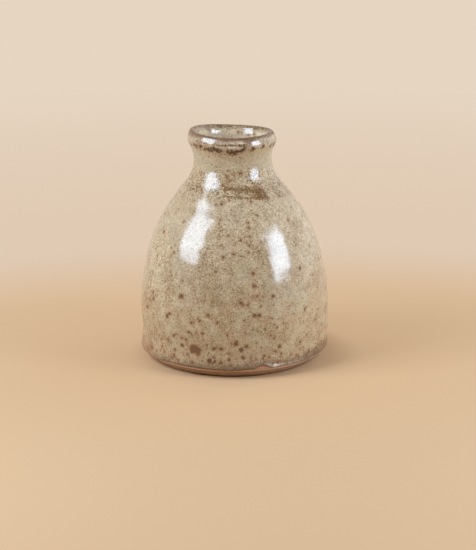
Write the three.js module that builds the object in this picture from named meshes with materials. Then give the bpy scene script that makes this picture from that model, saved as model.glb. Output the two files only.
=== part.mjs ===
// A wheel-thrown stoneware bud vase: one thrown clay body under three fired coats of glaze.
// Millimetres, +Z up. The origin is the middle of the foot, on the table.
import * as THREE from "three";
import { mergeGeometries, mergeVertices } from "three/addons/utils/BufferGeometryUtils.js";

// Driving dimensions of the clay body, outside
const TOTAL_HEIGHT = 101; // table to the crest of the glazed lip
const BELLY_RADIUS = 41.2; // the upright lower wall
const FOOT_INSET = 4.0; // how far the bevel cuts in under the wall
const BEVEL_HEIGHT = 3.8; // table to the top of the bevel
const WALL_TOP = 18; // where the upright wall starts to lean in
const NECK_RADIUS = 16.7; // the narrowest place
const NECK_DROP = 12.05; // lip crest to the narrowest place
const SHOULDER_FULLNESS = 0.75; // how long the shoulder holds the wall's line, of its own rise
const NECK_FULLNESS = 0.23; // the same for the hollow under the neck
const LIP_FLARE = 2.3; // how far the lip stands out from the neck
const LIP_OUTER_ROUND = 1.7; // width of the lip's outer rounding
const LIP_DROP = 3.2; // lip crest to its widest place
const LIP_INNER_ROUND = 1.5; // width of the lip's inner rounding
const MOUTH_DROP = 2.2; // lip crest to the mouth's edge
const FLARE_START = 0.6; // how long the neck holds its line before it opens into the lip, of the flare's rise
const FLARE_END = 0.3; // how long the lip then stands upright, inside and out

// Driving dimensions of the clay body, inside
const WALL = 4.8;
const NECK_WALL = 3.2;
const FLOOR = 7;
const FLOOR_ROUND = 10; // how far the corner between wall and floor reaches over the floor
const INNER_DROP = 2; // how far the inner shoulder lies below the outer one

// Driving dimensions of the glaze
const OUTER_GLAZE = 0.5;
const LINER_GLAZE = 0.5;
const RIM_GLAZE = 0.25; // the film left where the lip was wiped
const BARE_MARGIN = 0.4; // bare wall between the bevel and the glaze

// How the hand-thrown form leaves the true round
const LEAN = -1.3; // how far the mouth stands off the axis, along X
const LEAN_BEND = 3; // how late the lean sets in: 1 is a straight lean, more bends only the neck
const LIP_TILT = 0.48; // rise of the lip on its high side
const LIP_HIGH_SIDE = THREE.MathUtils.degToRad(180);
const LIP_SADDLE = 0.5; // rise of the lip at the two ends of its saddle
const LIP_SADDLE_SIDE = THREE.MathUtils.degToRad(175);
const OVAL = 0.15; // out-of-round of the wall
const OVAL_SIDE = THREE.MathUtils.degToRad(30);

// How finely curves are divided
const SEGMENTS = 40;
const SHOULDER_STEPS = 10;
const FLARE_STEPS = 4;
const LIP_STEPS = 4;
const RIM_OUTER_STEPS = 2; // steps of the lip's outer rounding that the rim's glaze covers
const RIM_INNER_STEPS = 3; // the same for the inner rounding
const FLOOR_STEPS = 4;

// Sizes and places that follow from the driving dimensions
const CLAY_TOP = TOTAL_HEIGHT - RIM_GLAZE;
const FOOT_RADIUS = BELLY_RADIUS - FOOT_INSET;
const GLAZE_LINE = BEVEL_HEIGHT + BARE_MARGIN;
const NECK_Z = CLAY_TOP - NECK_DROP;
const LIP_RADIUS = NECK_RADIUS + LIP_FLARE;
const LIP_Z = CLAY_TOP - LIP_DROP;
const CREST_RADIUS = LIP_RADIUS - LIP_OUTER_ROUND;
const MOUTH_RADIUS = CREST_RADIUS - LIP_INNER_ROUND;
const MOUTH_Z = CLAY_TOP - MOUTH_DROP;
const BORE_RADIUS = NECK_RADIUS - NECK_WALL;
const BORE_Z = NECK_Z - INNER_DROP;
const CAVITY_RADIUS = BELLY_RADIUS - WALL;
const CAVITY_WALL_TOP = WALL_TOP - INNER_DROP;

const at = (radius, z) => new THREE.Vector2(radius, z);

// A curve that leaves one radius upright and reaches another upright, as a thrown wall does.
function swell(from, to, startFullness, endFullness, steps) {
  const rise = to.y - from.y;
  const leaving = at(from.x, from.y + startFullness * rise);
  const arriving = at(to.x, to.y - endFullness * rise);
  return new THREE.CubicBezierCurve(from, leaving, arriving, to).getPoints(steps);
}

// A quarter of an ellipse about a centre, between two angles in quarter turns.
function rounding(centre, width, height, fromQuarter, toQuarter, steps) {
  const quarter = Math.PI / 2;
  return new THREE.EllipseCurve(
    centre.x,
    centre.y,
    width,
    height,
    fromQuarter * quarter,
    toQuarter * quarter,
    toQuarter < fromQuarter,
  ).getPoints(steps);
}

// The section of the clay from the axis under the foot, up the outside, over the lip and down to the floor.
function claySection() {
  const bareFoot = [at(0, 0), at(FOOT_RADIUS, 0), at(BELLY_RADIUS, BEVEL_HEIGHT)];
  const outerShoulder = swell(
    at(BELLY_RADIUS, WALL_TOP),
    at(NECK_RADIUS, NECK_Z),
    SHOULDER_FULLNESS,
    NECK_FULLNESS,
    SHOULDER_STEPS,
  );
  const outerFlare = swell(
    at(NECK_RADIUS, NECK_Z),
    at(LIP_RADIUS, LIP_Z),
    FLARE_START,
    FLARE_END,
    FLARE_STEPS,
  );
  const lipOutside = rounding(
    at(CREST_RADIUS, LIP_Z),
    LIP_OUTER_ROUND,
    LIP_DROP,
    0,
    1,
    LIP_STEPS,
  );
  const lipInside = rounding(
    at(CREST_RADIUS, MOUTH_Z),
    LIP_INNER_ROUND,
    MOUTH_DROP,
    1,
    2,
    LIP_STEPS,
  );
  const innerFlare = swell(
    at(MOUTH_RADIUS, MOUTH_Z),
    at(BORE_RADIUS, BORE_Z),
    FLARE_END,
    FLARE_START,
    FLARE_STEPS,
  );
  const innerShoulder = swell(
    at(BORE_RADIUS, BORE_Z),
    at(CAVITY_RADIUS, CAVITY_WALL_TOP),
    NECK_FULLNESS,
    SHOULDER_FULLNESS,
    SHOULDER_STEPS,
  );
  const floorCorner = rounding(
    at(CAVITY_RADIUS - FLOOR_ROUND, CAVITY_WALL_TOP),
    FLOOR_ROUND,
    CAVITY_WALL_TOP - FLOOR,
    0,
    -1,
    FLOOR_STEPS,
  );
  const outside = [at(BELLY_RADIUS, GLAZE_LINE), ...outerShoulder, ...outerFlare.slice(1)];
  const lip = [...lipOutside.slice(1), ...lipInside.slice(1)];
  const inside = [...innerFlare.slice(1), ...innerShoulder.slice(1), ...floorCorner.slice(1), at(0, FLOOR)];
  const section = [...bareFoot, ...outside, ...lip, ...inside];
  const crest = bareFoot.length + outside.length + LIP_STEPS - 1;
  return {
    section,
    glazeLine: bareFoot.length,
    rimStart: crest - RIM_OUTER_STEPS,
    rimEnd: crest + RIM_INNER_STEPS,
    floorCentre: section.length - 1,
  };
}

// A point of the section moved off the clay by a coat's thickness.
function coated(section, index, thickness) {
  const before = section[Math.max(index - 1, 0)];
  const after = section[Math.min(index + 1, section.length - 1)];
  const along = after.clone().sub(before).normalize();
  const offClay = at(along.y, -along.x);
  return section[index].clone().addScaledVector(offClay, thickness);
}

// One skin of a solid: a stretch of section turned about Z, facing off the clay or back at it.
function skin(points, facesClay) {
  const geometry = new THREE.LatheGeometry(points, SEGMENTS);
  geometry.deleteAttribute("normal");
  geometry.deleteAttribute("uv");
  if (facesClay) {
    geometry.setIndex([...geometry.index.array].reverse());
  }
  return geometry;
}

// The skins of one coat: its free surface, the clay it lies on and its two ends.
// Where it meets the rim's film it has the film's thickness, so that the coats join edge to edge.
function coatSkins({ section, rimStart, rimEnd, floorCentre }, from, to, thickness) {
  const clay = section.slice(from, to + 1);
  const surface = [];
  for (let index = from; index <= to; index++) {
    const meetsRim = index === rimStart || index === rimEnd;
    surface.push(coated(section, index, meetsRim ? RIM_GLAZE : thickness));
  }
  const skins = [skin(surface, false), skin(clay, true), skin([clay[0], surface[0]], false)];
  if (to === floorCentre) {
    return skins;
  }
  return [...skins, skin([clay.at(-1), surface.at(-1)], true)];
}

// Moves a point of the true round form to where the potter's hands left it.
function handThrow(point) {
  const angle = Math.atan2(point.y, point.x);
  const rise = Math.max(0, (point.z - WALL_TOP) / (CLAY_TOP - WALL_TOP));
  const lipShare = THREE.MathUtils.smoothstep(point.z, NECK_Z, CLAY_TOP);
  const radius = Math.hypot(point.x, point.y);
  const oval = (OVAL / BELLY_RADIUS) * Math.cos(2 * (angle - OVAL_SIDE));
  const tilt = LIP_TILT * Math.cos(angle - LIP_HIGH_SIDE);
  const saddle = LIP_SADDLE * Math.cos(2 * (angle - LIP_SADDLE_SIDE));
  point.x = radius * (1 + oval) * Math.cos(angle) + LEAN * rise ** LEAN_BEND;
  point.y = radius * (1 + oval) * Math.sin(angle);
  point.z += lipShare * (tilt + saddle);
}

// Joins skins into a closed solid of the hand-thrown form.
function thrown(skins) {
  const round = mergeGeometries(skins);
  round.rotateX(Math.PI / 2);
  const geometry = mergeVertices(round);
  const positions = geometry.getAttribute("position");
  const point = new THREE.Vector3();
  for (let index = 0; index < positions.count; index++) {
    point.fromBufferAttribute(positions, index);
    handThrow(point);
    positions.setXYZ(index, point.x, point.y, point.z);
  }
  geometry.computeVertexNormals();
  return geometry;
}

function piece(name, skins, colour, roughness) {
  const material = new THREE.MeshStandardMaterial({ color: colour, roughness, metalness: 0 });
  const mesh = new THREE.Mesh(thrown(skins), material);
  mesh.name = name;
  return mesh;
}

const clay = claySection();
const outerCoat = coatSkins(clay, clay.glazeLine, clay.rimStart, OUTER_GLAZE);
const rimCoat = coatSkins(clay, clay.rimStart, clay.rimEnd, RIM_GLAZE);
const linerCoat = coatSkins(clay, clay.rimEnd, clay.floorCentre, LINER_GLAZE);

const vase = new THREE.Group();
vase.add(
  piece("stoneware_body", [skin(clay.section, false)], "#8f5f45", 0.85),
  piece("outer_glaze", outerCoat, "#b3a283", 0.2),
  piece("rim_glaze", rimCoat, "#7a5a48", 0.25),
  piece("liner_glaze", linerCoat, "#aa9c80", 0.2),
);

export default vase;
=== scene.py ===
import math
from typing import NamedTuple

import bpy
import numpy as np
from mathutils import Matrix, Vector


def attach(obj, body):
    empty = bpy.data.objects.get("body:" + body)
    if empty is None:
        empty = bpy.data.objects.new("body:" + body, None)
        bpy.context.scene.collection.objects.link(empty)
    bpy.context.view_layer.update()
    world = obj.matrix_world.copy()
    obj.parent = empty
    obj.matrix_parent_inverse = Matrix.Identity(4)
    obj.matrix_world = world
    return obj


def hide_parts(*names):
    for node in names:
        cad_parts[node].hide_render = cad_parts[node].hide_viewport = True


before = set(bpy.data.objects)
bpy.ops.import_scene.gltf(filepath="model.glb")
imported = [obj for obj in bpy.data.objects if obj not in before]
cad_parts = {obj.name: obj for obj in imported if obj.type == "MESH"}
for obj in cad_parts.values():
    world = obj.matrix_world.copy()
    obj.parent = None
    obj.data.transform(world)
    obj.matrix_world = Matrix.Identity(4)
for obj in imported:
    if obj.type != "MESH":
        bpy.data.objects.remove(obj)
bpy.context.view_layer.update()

# A wheel-thrown stoneware bud vase in a speckled oatmeal glaze, with a bare bevelled foot.
# Lengths are millimetres until a mesh is made. A turn is the angle round the vase from the front,
# -Y, towards +X. Colours are linear.

MM = 0.001

# Sizes of the clay body, as in the part
TOTAL_HEIGHT = 101
BELLY_RADIUS = 41.2
FOOT_INSET = 4.0
BEVEL_HEIGHT = 3.8
WALL_TOP = 18
NECK_RADIUS = 16.7
NECK_DROP = 12.05
SHOULDER_FULLNESS = 0.75
NECK_FULLNESS = 0.23
LIP_FLARE = 2.3
LIP_OUTER_ROUND = 1.7
LIP_DROP = 3.2
FLARE_START = 0.6
FLARE_END = 0.3
WALL = 4.8
NECK_WALL = 3.2
FLOOR = 7
FLOOR_ROUND = 10
INNER_DROP = 2

# The lip, inside softer and in front a little higher than in the part
LIP_INNER_ROUND = 2.0
MOUTH_DROP = 4.2
LIP_FRONT_RISE = 0.45
LIP_FRONT = (5, 50)  # turn of the raised front and its reach to both sides, in degrees

# Sizes of the glaze, as in the part
OUTER_GLAZE = 0.5
LINER_GLAZE = 0.5
RIM_GLAZE = 0.25
BARE_MARGIN = 0.4

# How the hand-thrown form leaves the true round, as in the part
LEAN = -1.3
LEAN_BEND = 3
LIP_TILT = 0.48
LIP_HIGH_TURN = math.radians(-90)
LIP_SADDLE = 0.5
LIP_SADDLE_TURN = math.radians(-95)
OVAL = 0.15
OVAL_TURN = math.radians(120)

# Places that follow from the sizes
CLAY_TOP = TOTAL_HEIGHT - RIM_GLAZE
FOOT_RADIUS = BELLY_RADIUS - FOOT_INSET
GLAZE_LINE = BEVEL_HEIGHT + BARE_MARGIN
NECK_Z = CLAY_TOP - NECK_DROP
LIP_RADIUS = NECK_RADIUS + LIP_FLARE
LIP_Z = CLAY_TOP - LIP_DROP
CREST_RADIUS = LIP_RADIUS - LIP_OUTER_ROUND
MOUTH_RADIUS = CREST_RADIUS - LIP_INNER_ROUND
MOUTH_Z = CLAY_TOP - MOUTH_DROP
BORE_RADIUS = NECK_RADIUS - NECK_WALL
BORE_Z = NECK_Z - INNER_DROP
CAVITY_RADIUS = BELLY_RADIUS - WALL
CAVITY_WALL_TOP = WALL_TOP - INNER_DROP

# How finely the meshes are divided
TURNS = np.linspace(-math.pi, math.pi, 360, endpoint=False)
ROLL_STEPS = 6
WALL_STEPS = 26
SHOULDER_STEPS = 140
FLARE_STEPS = 24
LIP_STEPS = 16
INNER_STEPS = 60
CORNER_STEPS = 12
FLOOR_STEPS = 14
BASE_STEPS = 60
BEVEL_STEPS = 30
CLAY_WALL_STEPS = 24
EASE_STEPS = 4
RIM_OUTER_SHARE = 0.5  # share of the lip's outer rounding under the rim's glaze, as in the part
RIM_INNER_SHARE = 0.5  # the same for the softer inner rounding
SKIN_STRIDE = 4  # rows of a coat's free surface to one row of its hidden side
CLAY_STRIDE = 4  # rows of the outer section to one row of the clay under the glaze
CLAY_INNER_STRIDE = 2  # the same over the lip and inside
SHARP_EDGE = math.radians(38)  # a mesh is shaded smooth across gentler edges

# How the glaze lies
ROLL = 0.7  # width of the rounded lower edge
ROLL_BUILD = 0.22  # extra thickness along that edge
ROLL_FADE = 3.5  # how far above the edge the extra thickness is gone
RIM_FADE = 3.0  # how far from the rim's film a coat has its full thickness
FUSED = 0.12  # how deep a coat's hidden side lies in the clay
GLAZE_UNEVEN = 0.03  # how much the thickness varies, of itself
EDGE_DROP = 0.1  # how far the lower edge mostly lies below its line in the part
EDGE_SAG = 0.25  # how far below that line it may run at most
EDGE_WAVE = 0.14  # how far it wanders
OFF_EDGE = 60  # the distance from the lower edge that the inside counts as


def smooth(low, high, value):
    """0 at low and 1 at high, eased at both ends; high may be the smaller of the two."""
    t = np.clip((value - low) / (high - low), 0, 1)
    return t * t * (3 - 2 * t)


def between(value, rise, fall):
    """1 from the end of a rise to the start of a fall, and 0 outside both."""
    return smooth(rise[0], rise[1], value) * smooth(fall[1], fall[0], value)


def bump(value, middle, width):
    """1 at the middle, falling off to both sides."""
    return np.exp(-(((value - middle) / width) ** 2))


def beside(turn, middle, width):
    """1 at a turn, falling off to both sides, all in degrees."""
    away = (np.degrees(turn) - middle + 180) % 360 - 180
    return bump(away, 0, width)


class Patch(NamedTuple):
    """A soft patch of the wall: its strength, its height and turn in degrees, and its reach in both."""

    strength: float
    z: float
    rise: float
    turn: float
    sweep: float

    def over(self, z, turn):
        return self.strength * bump(z, self.z, self.rise) * beside(turn, self.turn, self.sweep)


def patched(patches, z, turn):
    """What soft patches add up to at each point."""
    return sum(patch.over(z, turn) for patch in patches)


class Ripple:
    """Smooth unevenness over height and turn, about 1 high, from waves of about one length."""

    def __init__(self, seed, length, waves=28):
        draw = np.random.default_rng(seed)
        heading = draw.uniform(0, 2 * math.pi, waves)
        stretch = draw.uniform(0.7, 1.5, waves)
        pace = 2 * math.pi / (length * stretch)
        self.round = np.round(pace * np.cos(heading) * BELLY_RADIUS)
        self.up = pace * np.sin(heading)
        self.start = draw.uniform(0, 2 * math.pi, waves)

    def __call__(self, z, turn):
        z, turn = np.broadcast_arrays(z, turn)
        total = np.zeros(z.shape)
        for around, up, start in zip(self.round, self.up, self.start):
            total += np.cos(around * turn + up * z + start)
        return total / math.sqrt(len(self.start) / 2)


WALL_RIPPLE = Ripple(seed=3, length=34)
GLAZE_RIPPLE = Ripple(seed=5, length=9)
EDGE_RIPPLE = Ripple(seed=8, length=15)


# The section of the clay, as (radius, height) points


def swell(start, end, start_fullness, end_fullness, steps):
    """A curve that leaves one radius upright and reaches another upright, as a thrown wall does."""
    (r0, z0), (r1, z1) = start, end
    rise = z1 - z0
    corners = [start, (r0, z0 + start_fullness * rise), (r1, z1 - end_fullness * rise), end]
    t = np.linspace(0, 1, steps + 1)[1:, None]
    weights = np.hstack([(1 - t) ** 3, 3 * t * (1 - t) ** 2, 3 * t * t * (1 - t), t**3])
    return weights @ np.array(corners)


def rounding(centre, width, height, from_quarter, to_quarter, steps):
    """A quarter of an ellipse about a centre, between two angles in quarter turns."""
    angle = np.linspace(from_quarter, to_quarter, steps + 1)[1:] * math.pi / 2
    return np.stack([centre[0] + width * np.cos(angle), centre[1] + height * np.sin(angle)], 1)


def straight(start, end, steps):
    t = np.linspace(0, 1, steps + 1)[1:, None]
    return np.array(start) * (1 - t) + np.array(end) * t


def eased(start, corner, end, steps):
    """A corner that a sponge has rounded."""
    t = np.linspace(0, 1, steps + 1)[1:, None]
    points = [np.array(p) for p in (start, corner, end)]
    return (1 - t) ** 2 * points[0] + 2 * t * (1 - t) * points[1] + t * t * points[2]


def lip_section():
    """From the lip's widest place over the crest to the mouth's edge."""
    outside = rounding((CREST_RADIUS, LIP_Z), LIP_OUTER_ROUND, LIP_DROP, 0, 1, LIP_STEPS)
    inside = rounding((CREST_RADIUS, MOUTH_Z), LIP_INNER_ROUND, MOUTH_DROP, 1, 2, LIP_STEPS)
    return np.vstack([outside, inside])


def outside_section():
    """From the top of the upright wall to the lip's widest place."""
    wall_top = (BELLY_RADIUS, WALL_TOP)
    neck = (NECK_RADIUS, NECK_Z)
    shoulder = swell(wall_top, neck, SHOULDER_FULLNESS, NECK_FULLNESS, SHOULDER_STEPS)
    flare = swell(neck, (LIP_RADIUS, LIP_Z), FLARE_START, FLARE_END, FLARE_STEPS)
    return np.vstack([shoulder, flare])


def inside_section():
    """From the mouth's edge down to the middle of the floor."""
    bore = (BORE_RADIUS, BORE_Z)
    wall_top = (CAVITY_RADIUS, CAVITY_WALL_TOP)
    corner_middle = (CAVITY_RADIUS - FLOOR_ROUND, CAVITY_WALL_TOP)
    flare = swell((MOUTH_RADIUS, MOUTH_Z), bore, FLARE_END, FLARE_START, FLARE_STEPS)
    shoulder = swell(bore, wall_top, NECK_FULLNESS, SHOULDER_FULLNESS, INNER_STEPS)
    corner_height = CAVITY_WALL_TOP - FLOOR
    corner = rounding(corner_middle, FLOOR_ROUND, corner_height, 0, -1, CORNER_STEPS)
    floor_line = straight((corner_middle[0], FLOOR), (0, FLOOR), FLOOR_STEPS)
    return np.vstack([flare, shoulder, corner, floor_line])


def off_clay(section):
    """The direction off the clay at each point of a section."""
    along = np.gradient(section, axis=0)
    along /= np.linalg.norm(along, axis=1)[:, None]
    return np.stack([along[:, 1], -along[:, 0]], 1)


# The hand-thrown form

# Where the wall stands off its true round, all the way round: how far, at what height and its reach
WALL_RINGS = [
    (0.3, 29, 11),  # the full belly
    (0.37, 74.7, 4.4),  # the ring under the neck
    (0.43, 68.7, 6.0),  # the swelling below that ring
    (-0.28, 70.5, 2.6),  # the crease in that swelling
]
WALL_PATCHES = [
    Patch(-0.55, z=13, rise=5, turn=-90, sweep=55),  # the waist on the left
    Patch(0.7, z=0, rise=3.5, turn=-68, sweep=28),  # the foot's spread on the left
    Patch(0.5, z=0, rise=3.5, turn=0, sweep=35),  # the foot's spread at the front
    Patch(0.25, z=13, rise=6, turn=90, sweep=55),  # the fuller wall on the right
]
RING_PITCH = 6.7  # the throwing rings
RING_DEPTH = 0.035
RIPPLE_DEPTH = 0.03
LEDGE_DEPTH = 0.03  # the slanting ledge that a rib left at the front
LEDGE_SLANT = 1.2


def glaze_edge(turn):
    """Height of the glaze's lower edge, which rises to both sides and is chipped at one place."""
    degrees = np.degrees(turn)
    left = 0.5 * beside(turn, -34, 15)
    right = 0.5 * between(degrees, (-5, 20), (110, 175))
    far_right = 0.3 * beside(turn, 78, 22)
    line = GLAZE_LINE - EDGE_DROP + left + right + far_right + EDGE_WAVE * EDGE_RIPPLE(0, turn)
    chip = 0.75 * between(degrees, (12, 14), (20, 23)) + 0.55 * beside(turn, 17.5, 2.6)
    return np.maximum(line, GLAZE_LINE - EDGE_SAG) + chip


def unevenness(z, turn):
    """How far the wall stands off its true round, outwards."""
    slow = sum(amount * bump(z, middle, reach) for amount, middle, reach in WALL_RINGS)
    slow = slow + patched(WALL_PATCHES, z, turn)
    ripple = WALL_RIPPLE(z, turn)
    rings = RING_DEPTH * np.sin(2 * math.pi * z / RING_PITCH + turn) * (0.6 + 0.4 * ripple)
    slant = z - LEDGE_SLANT * turn
    ledge = -LEDGE_DEPTH * between(slant, (32.5, 37), (37, 46)) * beside(turn, 25, 38)
    thrown = rings + ledge + RIPPLE_DEPTH * ripple
    return slow + between(z, (4, 12), (74, 92)) * thrown


def hand_thrown(radius, z, turn):
    """Moves points of the true round form to where the potter's hands left them."""
    rise = np.clip((z - WALL_TOP) / (CLAY_TOP - WALL_TOP), 0, None)
    lip_share = smooth(NECK_Z, CLAY_TOP, z)
    oval = OVAL / BELLY_RADIUS * np.cos(2 * (turn - OVAL_TURN))
    tilt = LIP_TILT * np.cos(turn - LIP_HIGH_TURN)
    saddle = LIP_SADDLE * np.cos(2 * (turn - LIP_SADDLE_TURN))
    front = LIP_FRONT_RISE * beside(turn, *LIP_FRONT)
    share = np.clip(radius / BELLY_RADIUS, 0, 1)
    reach = radius * (1 + oval) + share * unevenness(z, turn)
    x = reach * np.sin(turn) + LEAN * rise**LEAN_BEND
    y = -reach * np.cos(turn)
    return np.stack(np.broadcast_arrays(x, y, z + lip_share * (tilt + saddle + front)), -1)


def revolve(name, rows, fields, pole_ends):
    """A closed mesh through rings of points, whose section closes on itself or on the axis."""
    count, around = rows.shape[:2]
    index = np.arange(count * around).reshape(count, around)
    lower = index if not pole_ends else index[:-1]
    upper = np.roll(index, -1, 0) if not pole_ends else index[1:]
    beside_lower, beside_upper = np.roll(lower, -1, 1), np.roll(upper, -1, 1)
    faces = np.stack([lower, beside_lower, beside_upper, upper], -1).reshape(-1, 4).tolist()
    points = rows.reshape(-1, 3)
    values = {key: field.ravel() for key, field in fields.items()}
    if pole_ends:
        poles = [rows[0].mean(0), rows[-1].mean(0)]
        first, last = len(points), len(points) + 1
        following = np.roll(np.arange(around), -1)
        for here, there in enumerate(following):
            faces.append([first, index[0, there], index[0, here]])
            faces.append([last, index[-1, here], index[-1, there]])
        points = np.vstack([points, poles])
        values = {key: np.append(v, [v[0], v[-1]]) for key, v in values.items()}
    mesh = bpy.data.meshes.new(name)
    mesh.from_pydata((points * MM).tolist(), [], faces)
    mesh.shade_smooth()
    mesh.set_sharp_from_angle(angle=SHARP_EDGE)
    for key, value in values.items():
        mesh.attributes.new(key, "FLOAT", "POINT").data.foreach_set("value", value)
    piece = bpy.data.objects.new(name, mesh)
    bpy.context.scene.collection.objects.link(piece)
    return piece


# The glazed surface: one surface from the lower edge over the lip to the floor


class GlazedSurface:
    """Rings of points on the clay and on the glaze, with what the finish needs to know about each.

    height is a point's height on the clay, edge its height above the glaze's lower edge, and crest
    its way along the section from the crest of the lip, below 0 outside.
    """

    def __init__(self):
        turn = TURNS[None, :]
        edge = glaze_edge(turn)
        quarter = np.linspace(0, math.pi / 2, ROLL_STEPS + 1)[:, None]
        roll_z = edge + ROLL * (1 - np.cos(quarter))
        share = np.linspace(0, 1, WALL_STEPS + 1)[1:, None]
        wall_z = edge + ROLL + share * (WALL_TOP - edge - ROLL)
        above = np.vstack([outside_section(), lip_section(), inside_section()[:-1]])
        z = np.vstack([roll_z, wall_z, np.repeat(above[:, 1:], len(TURNS), 1)])
        start = len(roll_z) + len(wall_z)
        radius = np.append(np.full(start, BELLY_RADIUS), above[:, 0])[:, None]
        section = np.stack([radius[:, 0], z.mean(1)], 1)
        lean_out = off_clay(section)
        lean_out[:start] = (1, 0)
        step = np.linalg.norm(np.diff(section, axis=0), axis=1)
        contour = np.append(0, np.cumsum(step))
        crest = start + len(outside_section()) + LIP_STEPS - 1
        self.rim_start = crest - int(RIM_OUTER_SHARE * LIP_STEPS)
        self.rim_end = crest + int(RIM_INNER_SHARE * LIP_STEPS)
        self.crest = contour[:, None] - contour[crest] + 0 * z
        inside = self.crest > contour[self.rim_end] - contour[crest]
        self.edge = np.where(inside, OFF_EDGE, z - edge)
        into_rim = np.minimum(contour - contour[self.rim_start], contour[self.rim_end] - contour)
        full = np.where(inside, LINER_GLAZE, OUTER_GLAZE)
        thickness = RIM_GLAZE + (full - RIM_GLAZE) * smooth(0, RIM_FADE, -into_rim)[:, None]
        thickness = thickness * (1 + GLAZE_UNEVEN * GLAZE_RIPPLE(z, turn))
        thickness = thickness + ROLL_BUILD * (1 - smooth(0, ROLL_FADE, self.edge))
        roll = np.sqrt(np.clip(1 - (1 - np.clip(self.edge / ROLL, 0, 1)) ** 2, 0, 1))
        self.height = z
        self.clay = self.lifted(radius, z, lean_out, -FUSED)
        self.free = self.lifted(radius, z, lean_out, thickness * roll - FUSED * (1 - roll))

    def lifted(self, radius, z, lean_out, thickness):
        reach = radius + lean_out[:, :1] * thickness
        return hand_thrown(reach, z + lean_out[:, 1:] * thickness, TURNS[None, :])


# Spots in the glaze

# Where the iron in the clay bled through: height, turn in degrees, width, and 1 for a dark grey spot
IRON_SPOTS = [
    (12.6, -24.7, 3.9, 0), (12.7, -22.8, 3.8, 0), (35.2, -34, 2.2, 0), (25.8, -44, 1.8, 0),
    (26.3, -42, 1.3, 0), (26.9, -22, 0.5, 0), (28.7, -16, 1.3, 0), (20.6, -28, 1.1, 0),
    (13.3, -33, 1.3, 1), (17.2, -33, 0.9, 0), (17.0, -39, 1.1, 0), (8.1, -61, 2.2, 0),
    (14.2, -12, 1.3, 0), (14.0, -8, 1.2, 0), (11.9, -3, 1.0, 0), (16.7, 1, 2.2, 0),
    (13.5, 4, 1.8, 1), (15.1, 7, 1.4, 0), (7.9, -15, 2.2, 1), (7.9, -8, 1.5, 1),
    (28.3, 12, 1.7, 0), (28.7, 15, 1.5, 0), (34.3, 4, 1.6, 0), (40.8, 12, 1.5, 0),
    (36.1, 24, 1.2, 0), (27.3, 47, 1.1, 0), (13.5, 28, 1.4, 1), (13.5, 43, 0.6, 1),
    (9.1, 21, 0.6, 1), (46.4, 12, 1.0, 0), (65.2, 50, 1.2, 0), (73.8, 18, 0.9, 1),
    (73.3, -12, 0.7, 1), (45.4, 47, 1.4, 1), (57.8, 11, 0.9, 0), (54.3, 0, 0.9, 0),
    (59.8, 5, 0.6, 0), (59.3, -63, 1.3, 0), (42.2, -34, 0.9, 0), (52.8, -7, 0.7, 0),
    (66.5, 12, 0.3, 0), (64.2, 12, 0.3, 0), (31.0, -58, 1.6, 0), (25.8, -66, 1.8, 0),
    (11.2, -38, 1.2, 0), (6.7, 26, 0.8, 1), (6.5, 29, 0.5, 1), (8.2, 17, 0.5, 1),
    (6.7, 49, 0.8, 1), (7.2, 54, 0.8, 1), (7.5, 60, 0.8, 1), (6.9, -67, 1.4, 0),
    (7.6, -77, 1.2, 0), (13.9, -50, 0.8, 0), (10.8, -49, 0.6, 0),
]
# Dark blotches where the glaze pooled under the lip: height, turn in degrees and width
POOLED_BLOTCHES = [
    (96.3, -58, 1.3), (96.1, -53, 1.2), (96.3, -45, 1.6), (96.2, -37, 1.5), (96.1, -32, 1.7),
    (96.2, -28, 1.2), (96.2, -23, 2.1), (95.8, -19, 2.2), (95.4, -15, 1.4), (95.6, -5, 1.7),
    (95.3, -1, 2.0), (95.1, 3, 1.8), (95.4, 7, 1.7), (95.9, 12, 1.6), (96.4, 15, 1.5),
    (96.4, 28, 1.6), (96.6, 44, 1.2), (96.1, 61, 1.2),
]
# Iron spots inside: the way down from the crest of the lip, turn in degrees and width
LINER_SPOTS = [
    (3.2, -139, 0.6), (2.6, -137, 0.4), (3.8, 169, 0.4), (3.9, 164, 0.3), (2.2, 159, 0.6),
    (4.0, 138, 0.6), (5.0, 135, 0.4), (4.6, 150, 0.2),
]
SPOT_REACH = 6.0  # distances to spots are kept up to this
SMALL_SPOT_SEED = 258
SMALL_SPOT_COUNT = 370
SMALL_SPOT_LEAST = 0.15
SMALL_SPOT_WIDEST = 1.9
FRONT_SPAN = 70  # how far to both sides the front reaches, whose wide spots are listed above
FRONT_WIDEST = (1.05, 0.5)  # the widest small spot there, below and above a height
FRONT_PLAIN_Z = 36  # that height
SPOT_LOWEST = 6
SPOT_SPAN = 80
LOW_BIAS = 1.7  # above 1 more of the small spots lie low down
GREY_SHARE = 0.12  # share of the small spots that are dark grey
FOOT_SPOT_COUNT = 42
FOOT_SPOT_TOP = 10
FOOT_SPOT_WIDTH = (0.5, 1.5)
FOOT_GREY_SHARE = 0.3
POOLED_SEED = 34
POOLED_Z = 96
POOLED_BACK = (72, 294)  # the turns between which the blotches are scattered
POOLED_PITCH = 5
POOLED_SHARE = 0.8
POOLED_WIDTH = (1, 2.4)
BEAD_Z = 98.0  # height of the fine dark line on the face of the lip
BEAD_PITCH = 3.5
LINER_SPOT_SEED = 15
LINER_SPOT_COUNT = 60


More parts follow.
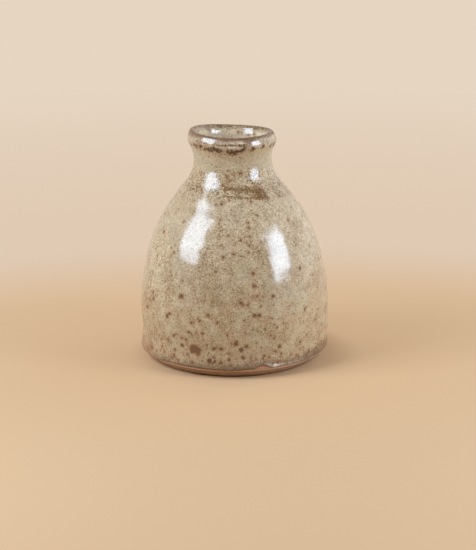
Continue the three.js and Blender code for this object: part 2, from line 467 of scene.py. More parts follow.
def small_spots():
    """Smaller spots all round, more of them low down, and wider ones away from the front."""
    draw = np.random.default_rng(SMALL_SPOT_SEED)
    spots = []
    for _ in range(SMALL_SPOT_COUNT):
        z = SPOT_LOWEST + SPOT_SPAN * draw.random() ** LOW_BIAS
        turn = draw.uniform(-180, 180)
        widest = SMALL_SPOT_WIDEST
        if abs(turn) < FRONT_SPAN:
            widest = FRONT_WIDEST[int(z > FRONT_PLAIN_Z)]
        width = SMALL_SPOT_LEAST + (widest - SMALL_SPOT_LEAST) * draw.random() ** 2
        spots.append((z, turn, width, int(draw.random() < GREY_SHARE)))
    for _ in range(FOOT_SPOT_COUNT):
        z = draw.uniform(SPOT_LOWEST, FOOT_SPOT_TOP)
        turn = draw.uniform(-180, 180)
        width = draw.uniform(*FOOT_SPOT_WIDTH)
        spots.append((z, turn, width, int(draw.random() < FOOT_GREY_SHARE)))
    return spots


def pooled_spots():
    """The blotches under the lip, scattered round the back, and the fine line above them."""
    draw = np.random.default_rng(POOLED_SEED)
    spots = list(POOLED_BLOTCHES)
    for turn in np.arange(*POOLED_BACK, POOLED_PITCH):
        if draw.random() < POOLED_SHARE:
            z = POOLED_Z + draw.uniform(-0.5, 0.4)
            shifted = turn + draw.uniform(-2, 2)
            spots.append((z, shifted, draw.uniform(*POOLED_WIDTH)))
    for turn in np.arange(-180, 180, BEAD_PITCH):
        if draw.random() < 0.25 + 0.65 * beside(math.radians(turn), 0, 22):
            spots.append((BEAD_Z + draw.uniform(-0.3, 0.3), turn, draw.uniform(0, 0.5)))
    return spots


def liner_spots():
    """The spots that show inside the mouth, and more of them all the way down."""
    draw = np.random.default_rng(LINER_SPOT_SEED)
    spots = list(LINER_SPOTS)
    for _ in range(LINER_SPOT_COUNT):
        down = 2 + 60 * draw.random() ** 1.3
        turn = draw.uniform(-180, 180)
        spots.append((down, turn, 0.3 + 1.3 * draw.random() ** 2))
    return spots


def nearest_spot(surface, spots, inside=False):
    """How far each point of one side lies from the nearest spot's edge, and that spot's number.

    A spot's level is its height outside, and its way down from the crest inside.
    """
    side = slice(surface.rim_end, None) if inside else slice(0, surface.rim_start + 1)
    points = surface.free[side]
    levels = (surface.crest if inside else surface.height)[side].mean(1)
    distance = np.full(surface.height.shape, SPOT_REACH, float)
    number = np.zeros(surface.height.shape, int)
    near, which = distance[side], number[side]
    for count, (level, turn, width, *_) in enumerate(spots):
        row = np.abs(levels - level).argmin()
        column = round((turn + 180) / 360 * len(TURNS)) % len(TURNS)
        beyond = np.linalg.norm(points - points[row, column], axis=-1) - width / 2
        closer = beyond < near
        near[closer] = beyond[closer]
        which[closer] = count
    return distance, number


def iron_fields(surface):
    """How far each point lies outside the nearest iron spot, and that spot's greyness."""
    spots = IRON_SPOTS + small_spots()
    outside, number = nearest_spot(surface, spots)
    inside = nearest_spot(surface, liner_spots(), inside=True)[0]
    return np.minimum(outside, inside), np.array([spot[3] for spot in spots], float)[number]


# Regions of the glaze

SHADE_PATCHES = [
    Patch(0.08, z=9.0, rise=2.2, turn=-15, sweep=38),  # pale along the foot
    Patch(0.09, z=10.5, rise=2.2, turn=-31, sweep=9),  # paler beside the largest spot
    Patch(-0.03, z=27, rise=9, turn=4, sweep=24),  # darker in the middle of the wall
    Patch(0.05, z=24, rise=9, turn=38, sweep=15),  # pale on the right
    Patch(0.04, z=48, rise=9, turn=-60, sweep=14),  # pale on the left
]
GRAIN_PATCHES = [
    Patch(-0.22, z=68, rise=8, turn=-55, sweep=22),  # plainer on the left shoulder
    Patch(-0.3, z=73, rise=8, turn=60, sweep=20),  # plainer on the right shoulder
]
STREAK_SLANT = 0.03  # how much lower the burnt streak lies a degree further to the right
CREASE_SLANT = 0.24  # the same for the thin line on the wall


def rim_field(surface):
    """How far each point lies above the foot of the brown on the lip's outer side."""
    turn = TURNS[None, :]
    front, left, drip = beside(turn, 0, 30), beside(turn, -80, 30), beside(turn, 25, 6)
    reach = 1.5 + 0.3 * front + 0.9 * left + 1.2 * drip
    above = surface.crest + reach + 0.25 * EDGE_RIPPLE(90, turn)
    return above * (1 - 0.6 * left)


def fringe_field(surface):
    """How far each point lies above the brown fringe along the glaze's edge, widened on the right as
    painted shade.
    """
    turn = TURNS[None, :]
    # on the right the brown fringe is partly painted shade on the thick glaze there
    right = 2.5 * beside(turn, 66, 20) + 1.4 * beside(turn, 84, 12)
    left = 2.4 * beside(turn, -82, 13) - 0.8 * beside(turn, -58, 20)
    return surface.edge - (right + left + 1.2 * beside(turn, 4, 15))


def milky_and_highlight_field(surface):
    """Pale places: thick glaze beside the chip, lines under the lip and the right wall, partly painted
    highlight and reflection.
    """
    turn, z = TURNS[None, :], surface.height
    # the thick pale bead beside the chip, partly a painted highlight on its rolled edge
    beside_chip = bump(surface.edge, 0.9, 0.7) * beside(turn, 23.5, 3.2)
    # painted highlight: a lit line along the glaze's edge to the right of the chip
    lit_trail = 0.5 * bump(surface.edge, 0.5, 0.5) * between(np.degrees(turn), (22, 26), (32, 54))
    # painted reflection: a pale line along the lip's outer rounding
    lip_reflection = 0.8 * bump(surface.crest, -2.7, 0.3) * beside(turn, 6, 19)
    under_line = 0.4 * bump(surface.crest, -4.3, 0.4) * beside(turn, 2, 24)
    right_wall = 0.09 * beside(turn, 78, 22) * between(z, (8, 18), (50, 66))
    return (beside_chip + lit_trail + lip_reflection + under_line + right_wall) * (surface.crest < 0)


def rusty_field(surface):
    """Where the glaze is thin and rust red, low down on the left."""
    turn = TURNS[None, :]
    low = 1.15 * smooth(10, 2, surface.edge) * beside(turn, -72, 22)
    runs = 0.5 * smooth(26, 8, surface.edge) * beside(turn, -62, 17)
    return np.maximum(low, runs) * (surface.crest < 0)


def streak_field(surface):
    """Where the glaze ran thin over the shoulder and burnt brown, and a thin line on the wall."""
    z, degrees = surface.height, np.degrees(TURNS[None, :])
    slant = z + STREAK_SLANT * degrees
    front = between(degrees, (-15, -10), (37, 44))
    upper = 0.66 * bump(slant, 79.0, 1.3) * front
    lower = 0.6 * bump(slant, 76.9, 1.5) * between(degrees, (20, 29), (36, 44))
    line = 0.54 * bump(slant, 75.8, 0.9) * front
    fill = 0.24 * between(slant, (74.9, 76), (80, 81.5)) * front
    crease = 0.5 * bump(z + CREASE_SLANT * degrees, 40.4, 0.5) * between(degrees, (12, 18), (40, 46))
    return np.clip(upper + lower + line + fill + crease, 0, 1) * (surface.crest < 0)


def wash_field(surface):
    """Where the glaze under the neck is thin and dotted brown."""
    z, turn = surface.height, TURNS[None, :]
    sides = 0.2 * beside(turn, 50, 28) + 0.16 * beside(turn, -55, 24)
    slant = z + STREAK_SLANT * np.degrees(turn)
    wash = (0.43 + sides) * smooth(74.5, 76, slant) * smooth(88, 84, z)
    patchy = np.clip(0.55 + 0.5 * WALL_RIPPLE(z, 2 * turn), 0, 1)
    return wash * patchy * (surface.crest < 0)


def neck_field(surface):
    """How grey the glaze is round the neck."""
    return 0.35 * smooth(84, 90, surface.height) * (surface.crest < -2)


def shade_field(surface):
    """Paler and darker regions of the glaze."""
    z = surface.height
    shoulder = 0.03 * between(z, (54, 64), (72, 76))
    return (shoulder + patched(SHADE_PATCHES, z, TURNS[None, :])) * (surface.crest < 0)


def grain_field(surface):
    """How speckled the glaze is: more inside and by the foot, less on the shoulder and the neck."""
    z, turn = surface.height, TURNS[None, :]
    inside = 0.1 * smooth(-1, 1.5, surface.crest)
    low = 0.18 * smooth(16, 7, z) * (surface.crest < 0)
    left = 0.17 * beside(turn, -65, 26) * between(z, (6, 12), (45, 60))
    right = -0.05 * beside(turn, 48, 20) * between(z, (8, 16), (60, 72))
    shoulder = -0.24 * between(z, (20, 40), (73, 76))
    neck = -0.34 * between(z, (85, 88), (94, 96))
    return 1.06 + inside + low + left + right + shoulder + neck + patched(GRAIN_PATCHES, z, turn)


def glaze_coats():
    """The three coats, as slices of one surface, so that they meet without a seam."""
    surface = GlazedSurface()
    from_iron, grey_iron = iron_fields(surface)
    fields = {
        "from_crest": surface.crest,
        "from_edge": surface.edge,
        "from_iron": from_iron,
        "grey_iron": grey_iron,
        "from_pool": nearest_spot(surface, pooled_spots())[0],
        "from_rim": rim_field(surface),
        "from_fringe": fringe_field(surface),
        "milky_and_highlight": milky_and_highlight_field(surface),
        "rusty": rusty_field(surface),
        "burnt": streak_field(surface),
        "wash": wash_field(surface),
        "shade": shade_field(surface),
        "neck": neck_field(surface),
        "grain": grain_field(surface),
    }
    bounds = {
        "glaze_coat": (0, surface.rim_start, False),
        "lip_glaze": (surface.rim_start, surface.rim_end, False),
        "liner_coat": (surface.rim_end, len(surface.height) - 1, True),
    }
    coats = []
    for name, (first, last, pole_ends) in bounds.items():
        free = np.arange(first, last + 1)
        hidden = np.unique(np.append(free[::SKIN_STRIDE], last))[::-1]
        rows = np.vstack([surface.free[free], surface.clay[hidden]])
        order = np.append(free, hidden)
        if pole_ends:
            rows = np.roll(rows, len(hidden), 0)
            order = np.roll(order, len(hidden))
        own = {key: field[order] for key, field in fields.items()}
        coats.append(revolve(name, rows, own, pole_ends))
    return coats


# The bare clay

FOOT_EASE = 2.4  # how far the foot's corner and the bevel's upper edge are rounded
SHELF_EASE = 0.35
BASE_LINE_PITCH = 2.6  # the wire's lines on the base and the tool's on the bevel
BASE_LINE_DEPTH = 0.14
BEVEL_LINE_PITCH = 1.1
BEVEL_LINE_DEPTH = 0.07
CHIP = (17, 5)  # turn of the chip and its reach, in degrees
RIGHT_SHADE_RISE = (36, 54)  # the turns over which the painted shade on the foot's right sets in and ends
RIGHT_SHADE_FALL = (120, 160)


def clay_section():
    """The whole section of the clay, from the axis under the foot to the floor inside."""
    along_bevel = np.array([FOOT_INSET, BEVEL_HEIGHT]) / math.hypot(FOOT_INSET, BEVEL_HEIGHT)
    foot = np.array([FOOT_RADIUS, 0.0])
    shelf = np.array([BELLY_RADIUS, BEVEL_HEIGHT])
    base_end = foot - (FOOT_EASE, 0)
    bevel_start = foot + FOOT_EASE * along_bevel
    bevel_end = shelf - SHELF_EASE * along_bevel
    wall_start = shelf + (0, SHELF_EASE)
    return np.vstack([
        straight((0, 0), base_end, BASE_STEPS),
        eased(base_end, foot, bevel_start, EASE_STEPS),
        straight(bevel_start, bevel_end, BEVEL_STEPS),
        eased(bevel_end, shelf, wall_start, EASE_STEPS),
        straight(wall_start, (BELLY_RADIUS, WALL_TOP), CLAY_WALL_STEPS),
        outside_section()[::CLAY_STRIDE],
        lip_section()[::CLAY_INNER_STRIDE],
        inside_section()[:-1:CLAY_INNER_STRIDE],
    ])


def clay_body():
    """The clay, with the wire's lines cut into its base and the tool's into its bevel."""
    section = clay_section()
    turn = TURNS[None, :]
    degrees = np.degrees(turn)
    lean_out = off_clay(section)
    radius, z = section[:, :1], section[:, 1:]
    on_base = np.arange(len(section))[:, None] < BASE_STEPS
    wire = np.sin(2 * math.pi * radius / BASE_LINE_PITCH + turn)
    inner_base = smooth(FOOT_RADIUS - 1, FOOT_RADIUS - 3, radius)
    base_cut = BASE_LINE_DEPTH * (0.5 + 0.5 * wire) * inner_base
    on_bevel = between(z, (0.2, 0.8), (BEVEL_HEIGHT - 0.4, BEVEL_HEIGHT + 0.2))
    chatter = np.sin(2 * math.pi * z / BEVEL_LINE_PITCH + 0.4 * np.sin(3 * turn))
    bevel_cut = BEVEL_LINE_DEPTH * on_bevel * (0.5 + 0.5 * chatter) * (~on_base)
    cut = -np.where(on_base, base_cut, bevel_cut)
    rows = hand_thrown(radius + lean_out[:, :1] * cut, z + lean_out[:, 1:] * cut, turn)
    heights = z + 0 * turn
    fields = {
        "height": heights,
        "below_glaze": glaze_edge(turn) - heights,
        "chipped": beside(turn, *CHIP) + 0 * heights,
        "right_shade": between(degrees, RIGHT_SHADE_RISE, RIGHT_SHADE_FALL) + 0 * heights,
    }
    return revolve("clay_body", rows, fields, pole_ends=True)


# Finishes

# Colours of the glaze
CREAM = (0.612, 0.478, 0.32)
BROWN = (0.219, 0.139, 0.058)
GREY_GREEN = (0.27, 0.245, 0.165)
NECK_GREY = (0.39, 0.342, 0.237)
RUST = (0.315, 0.172, 0.088)
WARM = (0.3, 0.19, 0.095)
RED_TINT = (0.36, 0.21, 0.115)
GREEN_TINT = (0.47, 0.41, 0.255)
OCHRE = (0.42, 0.33, 0.165)
BURNT = (0.138, 0.062, 0.011)
SPECK = (0.118, 0.056, 0.02)
IRON = (0.138, 0.051, 0.019)
IRON_GREY = (0.086, 0.04, 0.014)
POOLED = (0.052, 0.02, 0.006)
POOL_HALO = (0.25, 0.115, 0.05)
FRINGE = (0.155, 0.098, 0.052)
FRINGE_DEEP = (0.075, 0.042, 0.02)
# pale glaze, also the colour of painted highlights and a painted reflection line
MILKY_AND_HIGHLIGHT = (0.76, 0.73, 0.66)
RIM_BROWN = (0.268, 0.138, 0.076)
RIM_LINE = (0.09, 0.034, 0.015)
RIM_DARK = (0.108, 0.055, 0.03)
LINER = (0.82, 0.675, 0.485)
COOL_GLOSS = (0.92, 0.96, 1.0)

# Colours of the clay
CLAY = (0.37, 0.222, 0.132)
CLAY_FLASHED = (0.3, 0.182, 0.109)
# painted highlight along the bevel's upper edge
CLAY_LIT_EDGE = (0.66, 0.36, 0.205)
CLAY_RAW = (0.48, 0.2, 0.12)
# dark clay for the sand, and the colour of painted shadow and shade
CLAY_DARK = (0.12, 0.064, 0.036)
# painted glints on that lit edge
CLAY_GLINT = (0.78, 0.62, 0.5)
GROG = (0.4, 0.27, 0.175)

# Sizes of the glaze's mottling, from its fine grain to its slow drift
FINE_SIZE = 0.65
PEEL_SIZE = 0.8
PEEL_DEPTH = 0.034
RAGGED_SIZE = 1.6
SPECK_SPACING = 2.2
MOTTLE_SIZE = 4.2
CLOUD_SIZE = 4.5
HUE_SIZE = 5.3
DRIFT_SIZE = 16

# Sizes of the clay's sand, the painted glints on its lit edge, grog and flashing
SAND_SIZE = 0.5
SAND_DEPTH = 0.12
GLINT_SPACING = 1.2
GROG_SPACING = 1.6
FLASH_SIZE = 5

# How the surfaces shine
GLAZE_GLOSS = {
    "IOR": 1.61,
    "Specular IOR Level": 0.46,
    "Specular Tint": COOL_GLOSS,
    "Coat Weight": 0.25,
    "Coat Roughness": 0.5,
}
GLAZE_ROUGHNESS = (0.085, 0.1)  # the least, and how much more the rough places have
CLAY_ROUGHNESS = (0.68, 0.2)

# How strong the layers are
TONE_RANGE = 0.2  # the grit that turns the glaze all brown or all cream
RIM_COVER = 0.92
# how dark the painted shade on the foot's right is
RIGHT_SHADE_STRENGTH = 0.15


class Graph:
    """The node tree of a material or a world, with one short call for each kind of node."""

    def __init__(self, owner):
        owner.use_nodes = True
        self.owner = owner
        self.tree = owner.node_tree
        self.shader = self.tree.nodes.get("Principled BSDF")

    def node(self, kind, inputs, output=0, **settings):
        made = self.tree.nodes.new(kind)
        for key, value in settings.items():
            setattr(made, key, value)
        for key, value in inputs.items():
            self.feed(made.inputs[key], value)
        return made.outputs[output]

    def feed(self, socket, value):
        if isinstance(value, bpy.types.NodeSocket):
            self.tree.links.new(value, socket)
        elif socket.type == "RGBA":
            socket.default_value = (*value, 1)
        else:
            socket.default_value = value

    def feed_shader(self, inputs):
        for key, value in inputs.items():
            self.feed(self.shader.inputs[key], value)

    def metres(self):
        return self.node("ShaderNodeTexCoord", {}, "Object")

    def millimetres(self):
        inputs = {0: self.metres(), "Scale": 1 / MM}
        return self.node("ShaderNodeVectorMath", inputs, operation="SCALE")

    def distance(self, place, middle):
        return self.node("ShaderNodeVectorMath", {0: place, 1: middle}, "Value", operation="DISTANCE")

    def field(self, name):
        return self.node("ShaderNodeAttribute", {}, "Fac", attribute_name=name)

    def noise(self, place, size, detail=2.0, roughness=0.5):
        inputs = {"Vector": place, "Scale": 1 / size, "Detail": detail, "Roughness": roughness}
        return self.node("ShaderNodeTexNoise", inputs)

    def cells(self, place, size):
        """Distance to the nearest of scattered points, as a share of their spacing, and its chance."""
        distance = self.node("ShaderNodeTexVoronoi", {"Vector": place, "Scale": 1 / size})
        return distance, distance.node.outputs["Color"]

    def math(self, operation, first, second):
        return self.node("ShaderNodeMath", {0: first, 1: second}, operation=operation)

    def plus(self, first, second):
        return self.math("ADD", first, second)

    def minus(self, first, second):
        return self.math("SUBTRACT", first, second)

    def times(self, first, second):
        return self.math("MULTIPLY", first, second)

    def step(self, value, low, high, top=1.0):
        """From 0 at low to the top at high, eased at both ends."""
        inputs = {"Value": value, "From Min": low, "From Max": high, "To Max": top}
        return self.node("ShaderNodeMapRange", inputs, interpolation_type="SMOOTHSTEP")

    def blend(self, factor, under, over):
        inputs = {0: factor, 6: under, 7: over}
        return self.node("ShaderNodeMix", inputs, 2, data_type="RGBA")

    def wander(self, value, *noises):
        """A distance whose zero line is made ragged by noises, each given with its reach."""
        for noise, reach in noises:
            value = self.plus(value, self.times(self.minus(noise, 0.5), reach))
        return value

    def finish(self, colour, roughness, height, depth):
        raised = {"Height": height, "Distance": depth * MM, "Strength": 1.0}
        normal = self.node("ShaderNodeBump", raised)
        self.feed_shader({"Base Color": colour, "Roughness": roughness, "Normal": normal})
        return self.owner


class Glaze(Graph):
    """The layers of colour in the glaze, each laid over the one before."""

    def __init__(self, name):
        super().__init__(bpy.data.materials.new(name))
        self.place = self.millimetres()
        self.fine = self.noise(self.place, FINE_SIZE, 1.0, 0.6)
        self.ragged = self.noise(self.place, RAGGED_SIZE, 3.0, 0.65)
        self.mottle = self.noise(self.place, MOTTLE_SIZE, 3.0, 1.0)
        self.cloud = self.noise(self.place, CLOUD_SIZE)
        self.hue = self.noise(self.place, HUE_SIZE)
        self.drift = self.noise(self.place, DRIFT_SIZE)
        self.from_crest = self.field("from_crest")
        self.from_edge = self.field("from_edge")
        self.grain = self.field("grain")

    def oatmeal(self):
        """Cream and brown grit under grey-green, ochre and warm clouds, and paler inside."""
        coarse = self.times(self.minus(self.mottle, 0.5), 0.72)
        grit = self.wander(coarse, (self.fine, 0.82))
        contrast = self.wander(self.times(grit, self.grain), (self.drift, 0.3))
        contrast = self.plus(contrast, self.field("shade"))
        spread = {"Value": contrast, "From Min": -TONE_RANGE, "From Max": TONE_RANGE}
        colour = self.blend(self.node("ShaderNodeMapRange", spread), BROWN, CREAM)
        colour = self.blend(self.step(self.drift, 0.48, 0.68, top=0.3), colour, GREY_GREEN)
        colour = self.blend(self.field("neck"), colour, NECK_GREY)
        colour = self.blend(self.step(self.cloud, 0.56, 0.72, top=0.35), colour, OCHRE)
        low = self.wander(self.from_edge, (self.drift, 60))
        colour = self.blend(self.step(low, 46, 4, top=0.36), colour, WARM)
        on_wall = self.step(self.from_edge, 55, 20, top=0.34)
        for full, tint in ((0.64, RED_TINT), (0.36, GREEN_TINT)):
            tinted = self.times(self.step(self.hue, 0.5, full), on_wall)
            colour = self.blend(tinted, colour, tint)
        return self.blend(self.step(self.from_crest, 1.5, 4, top=0.55), colour, LINER)

    def burns(self, colour):
        """Brown dots where the glaze is thin under the neck, and the burnt streak at the front."""
        wash = self.wander(self.field("wash"), (self.fine, -2.1), (self.mottle, -0.7))
        streak = self.wander(self.field("burnt"), (self.fine, -1.0), (self.mottle, -0.3))
        for thin in (wash, streak):
            colour = self.blend(self.step(thin, 0.1, 1.15, top=0.95), colour, BURNT)
        return colour

    def fringe(self, colour):
        """Darker along the glaze's lower edge."""
        noises = (self.cloud, 5.0), (self.ragged, 2.5), (self.fine, 4.0)
        above = self.wander(self.field("from_fringe"), *noises)
        colour = self.blend(self.step(above, 3.9, 0.5, top=0.88), colour, FRINGE)
        return self.blend(self.step(above, 0.8, -1.6, top=0.5), colour, FRINGE_DEEP)

    def iron(self, colour):
        """Fine specks all over, and iron spots with rusty rims."""
        apart, chance = self.cells(self.place, SPECK_SPACING)
        specks = self.wander(apart, (chance, -0.6), (self.fine, 0.3))
        specked = self.times(self.step(specks, 0.12, -0.02, top=0.65), self.grain)
        colour = self.blend(specked, colour, SPECK)
        away = self.wander(self.field("from_iron"), (self.ragged, 2.6))
        colour = self.blend(self.step(away, 1.5, 0.1, top=0.5), colour, RUST)
        tone = self.blend(self.field("grey_iron"), IRON, IRON_GREY)
        return self.blend(self.step(away, 0.55, -0.35, top=0.92), colour, tone)

    def rust_milk_and_highlight(self, colour):
        """Rust red where the glaze is thin, and milky where it lies thick, partly painted highlight and
        reflection.
        """
        rusty = self.wander(self.field("rusty"), (self.ragged, 1.6))
        colour = self.blend(self.step(rusty, 0.3, 1.0, top=0.6), colour, RUST)
        flecked = self.times(self.field("milky_and_highlight"), self.step(self.ragged, 0.34, 0.52, top=0.9))
        return self.blend(flecked, colour, MILKY_AND_HIGHLIGHT)

    def pools(self, colour):
        """Dark blotches and a dotted line under the lip, in warm halos."""
        away = self.wander(self.field("from_pool"), (self.ragged, 3.2), (self.fine, 1.9))
        colour = self.blend(self.step(away, 1.7, 0.1, top=0.55), colour, POOL_HALO)
        return self.blend(self.step(away, 0.45, -0.3, top=0.92), colour, POOLED)

    def rim(self, colour):
        """Brown over the crest of the lip, with a darker line along it."""
        past_outer = self.step(self.wander(self.field("from_rim"), (self.ragged, 2.4)), -0.7, 0.6)
        before_inner = self.step(self.wander(self.from_crest, (self.ragged, 3.4)), 2.3, 0.6)
        covered = self.times(self.times(past_outer, before_inner), RIM_COVER)
        tone = self.blend(self.step(self.ragged, 0.38, 0.62), RIM_DARK, RIM_BROWN)
        along = self.wander(self.from_crest, (self.ragged, 1.4), (self.fine, 0.8))
        line = self.times(self.step(along, -1.7, -1.0), self.step(along, 0.0, -0.6, top=0.45))
        tone = self.blend(line, tone, RIM_LINE)
        return self.blend(covered, colour, tone)


def glaze_material(name):
    """Speckled oatmeal glaze, brown where it is thin over the lip, pooled under it or burnt."""
    glaze = Glaze(name)
    colour = glaze.oatmeal()
    for layer in (glaze.burns, glaze.fringe, glaze.iron, glaze.rust_milk_and_highlight, glaze.pools, glaze.rim):
        colour = layer(colour)
    least, more = GLAZE_ROUGHNESS
    roughness = glaze.plus(glaze.times(glaze.ragged, more), least)
    peel = glaze.noise(glaze.place, PEEL_SIZE, 2.0, 0.6)
    glaze.feed_shader(GLAZE_GLOSS)
    return glaze.finish(colour, roughness, peel, PEEL_DEPTH)


def clay_material():
    """Bare red-brown stoneware with sandy grog and raw clay in the chip; a painted highlight with
    painted glints along the bevel's upper edge, and painted shade under the glaze and on the right.
    """
    clay = Graph(bpy.data.materials.new("bare_clay"))
    place = clay.millimetres()
    sand = clay.noise(place, SAND_SIZE, 3.0, 0.65)
    flashed = clay.step(clay.noise(place, FLASH_SIZE), 0.35, 0.65)
    colour = clay.blend(flashed, CLAY, CLAY_FLASHED)
    colour = clay.blend(clay.step(sand, 0.52, 0.66, top=0.5), colour, CLAY_DARK)
    height, right_shade = clay.field("height"), clay.field("right_shade")
    sandy_height = clay.wander(height, (sand, 1.2))
    # painted highlight: a lit line along the bevel's upper edge, left out where the right is painted in
    # shade
    above = clay.step(sandy_height, 3.2, 3.6)
    below = clay.step(sandy_height, 4.1, 3.8, top=0.9)
    edge = clay.times(above, clay.times(below, clay.minus(1.0, right_shade)))
    colour = clay.blend(edge, colour, CLAY_LIT_EDGE)
    raw = clay.times(clay.step(height, 4.2, 4.7, top=0.9), clay.field("chipped"))
    colour = clay.blend(raw, colour, CLAY_RAW)
    # painted glints on that lit line
    glints = clay.step(clay.cells(place, GLINT_SPACING)[0], 0.4, 0.2, top=0.85)
    colour = clay.blend(clay.times(glints, edge), colour, CLAY_GLINT)
    # painted shadow: darker just under the glaze's lower edge
    below_glaze = clay.wander(clay.field("below_glaze"), (sand, 0.5))
    colour = clay.blend(clay.step(below_glaze, 0.35, 0.1, top=0.6), colour, CLAY_DARK)
    # painted shade on the right of the foot
    colour = clay.blend(clay.times(right_shade, RIGHT_SHADE_STRENGTH), colour, CLAY_DARK)
    grog = clay.step(clay.cells(place, GROG_SPACING)[0], 0.2, 0.08, top=0.6)
    colour = clay.blend(grog, colour, GROG)
    least, more = CLAY_ROUGHNESS
    roughness = clay.plus(clay.step(sand, 0.3, 0.7, top=more), least)
    return clay.finish(colour, roughness, sand, SAND_DEPTH)


def dress():
    """Gives each piece its material, named after its slot, and its body, and hides the part's node that
    it stands in for.
    """
    coats = glaze_coats()
    dressed = [(clay_body(), "stoneware_body", "bare_clay", clay_material())]
    nodes = ["outer_glaze", "rim_glaze", "liner_glaze"]
    slots = ["oatmeal_glaze", "rim_glaze", "liner_glaze"]
    for coat, node, slot in zip(coats, nodes, slots):
        dressed.append((coat, node, slot, glaze_material(slot)))
    for piece, node, slot, material in dressed:
        piece.data.materials.append(material)
        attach(piece, "root")
        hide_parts(node)


# The floor, the light and the camera, in metres

FLOOR_REACH = 6
FLOOR_SIDES = 96
FLOOR_GAP = 0.0001
FLOOR_ROUGHNESS = 0.9
FLOOR_SPECULAR = 0.1
FLOOR_COLOUR = (0.548, 0.372, 0.22)
FLOOR_WARM_SHADE = (0.588, 0.382, 0.217)

# The floor keeps its shadow near the vase and glows evenly further off, by distances from a point
FLOOR_MIDDLE = (0.025, -0.2, 0)
GLOW_RISE = (0.04, 0.42)
TABLE_EDGE = (0.28, 0.4)
BACKDROP_RISE = (0.42, 1.0)
TABLE_GLOW = (0.74, 0.52, 0.325)
BACKDROP_LOW = (0.745, 0.59, 0.455)
BACKDROP = (0.79, 0.665, 0.535)

# Right under the foot it doesn't glow, and beside the foot its colour is painted warmer, as warm shade
CONTACT_MIDDLE = (0.005, -0.002, 0)
CONTACT = (0.0375, 0.0555)
WARM_SHADE_REACH = (0.06, 0.14)

# The light from all round, weak in front and strong behind, and the lamps
FILL_FRONT = (0.06, 0.055, 0.05)
FILL_BACK = (0.62, 0.54, 0.44)
FILL_TURNOVER = (-0.5, 0.5)  # a direction's Y where the weak light ends and the strong one is full
LAMP_COLOUR = (0.88, 1.0, 1.15)
LIT_HEIGHT = 0.06
PANEL_SIZE = (1.25, 1.0)

# The camera, pitched down in degrees, and the photograph's frame in pixels
PHOTO_HEIGHT = 550
FOCAL_PIXELS = 1770
CAMERA_PLACE = (0.00154, -0.764, 0.2453)
CAMERA_PITCH = 15.364


def floor_material():
    """A table top that keeps its shadow near the vase, painted warmer beside the foot as warm shade,
    and glows evenly further off.
    """
    graph = Graph(bpy.data.materials.new("floor"))
    place = graph.metres()
    away = graph.distance(place, FLOOR_MIDDLE)
    from_foot = graph.distance(place, CONTACT_MIDDLE)
    lit_colour = graph.blend(graph.step(from_foot, *WARM_SHADE_REACH), FLOOR_WARM_SHADE, FLOOR_COLOUR)
    graph.feed_shader({
        "Base Color": lit_colour,
        "Roughness": FLOOR_ROUGHNESS,
        "Specular IOR Level": FLOOR_SPECULAR,
    })
    backdrop = graph.blend(graph.step(away, *BACKDROP_RISE), BACKDROP_LOW, BACKDROP)
    glow_colour = graph.blend(graph.step(away, *TABLE_EDGE), TABLE_GLOW, backdrop)
    glow = graph.node("ShaderNodeEmission", {"Color": glow_colour, "Strength": 1.0})
    far = graph.times(graph.step(away, *GLOW_RISE), graph.step(from_foot, *CONTACT))
    mixed = graph.node("ShaderNodeMixShader", {0: far, 1: graph.shader.outputs[0], 2: glow})
    graph.feed(graph.tree.nodes["Material Output"].inputs["Surface"], mixed)
    return graph.owner


def floor():
    mesh = bpy.data.meshes.new("floor")
    angles = np.linspace(0, 2 * math.pi, FLOOR_SIDES, endpoint=False)
    rim = [(FLOOR_REACH * math.cos(a), FLOOR_REACH * math.sin(a), -FLOOR_GAP) for a in angles]
    mesh.from_pydata(rim, [], [list(range(len(rim)))])
    mesh.materials.append(floor_material())
    made = bpy.data.objects.new("floor", mesh)
    bpy.context.scene.collection.objects.link(made)


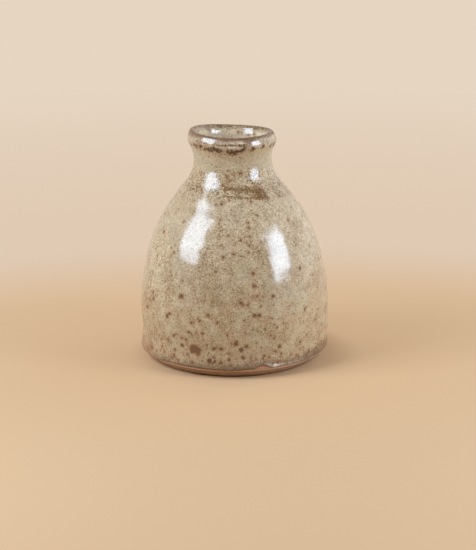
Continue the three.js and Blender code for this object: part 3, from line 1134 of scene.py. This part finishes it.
def lamp(name, turn, up, away, size, radiance, mirrored=True):
    """A rectangular lamp that faces the vase, by its turn from the front and its elevation.

    One that isn't mirrored lights the vase without showing in its gloss.
    """
    light = bpy.data.lights.new(name, "AREA")
    light.shape = "RECTANGLE"
    light.size, light.size_y = size
    light.color = LAMP_COLOUR
    light.energy = radiance * math.pi * size[0] * size[1]
    across, rise = math.radians(turn), math.radians(up)
    level = math.cos(rise)
    out = Vector((math.sin(across) * level, -math.cos(across) * level, math.sin(rise)))
    made = bpy.data.objects.new(name, light)
    made.location = Vector((0, 0, LIT_HEIGHT)) + away * out
    made.rotation_euler = (-out).to_track_quat("-Z", "Y").to_euler()
    made.visible_camera = False
    made.visible_glossy = mirrored
    bpy.context.scene.collection.objects.link(made)


def lamps():
    """Two softboxes in front, and two large lights on the right towards the back."""
    lamp("left_softbox", turn=-63.5, up=31.6, away=0.5, size=(0.277, 0.347), radiance=9.5)
    lamp("right_softbox", turn=63.4, up=18.7, away=0.5, size=(0.214, 0.246), radiance=11.6)
    lamp("right_panel", turn=102, up=22, away=0.9, size=PANEL_SIZE, radiance=0.63, mirrored=False)
    lamp("right_card", turn=116, up=22, away=0.95, size=PANEL_SIZE, radiance=0.45)


def surroundings():
    """Soft light from all round, with the pale backdrop in its place for the camera."""
    world = bpy.data.worlds.new("studio")
    bpy.context.scene.world = world
    graph = Graph(world)
    heading = graph.node("ShaderNodeTexCoord", {}, "Generated")
    to_back = graph.node("ShaderNodeSeparateXYZ", {0: heading}, "Y")
    fill = graph.blend(graph.step(to_back, *FILL_TURNOVER), FILL_FRONT, FILL_BACK)
    seen = graph.node("ShaderNodeLightPath", {}, "Is Camera Ray")
    shown = graph.blend(seen, fill, BACKDROP)
    graph.feed(graph.tree.nodes["Background"].inputs["Color"], shown)


def camera():
    lens = bpy.data.cameras.new("camera")
    lens.lens = FOCAL_PIXELS / PHOTO_HEIGHT * lens.sensor_width
    made = bpy.data.objects.new("camera", lens)
    made.location = CAMERA_PLACE
    made.rotation_euler = (math.radians(90 - CAMERA_PITCH), 0, 0)
    bpy.context.scene.collection.objects.link(made)
    bpy.context.scene.camera = made


dress()
floor()
lamps()
surroundings()
camera()
bpy.context.scene.view_settings.view_transform = "Standard"
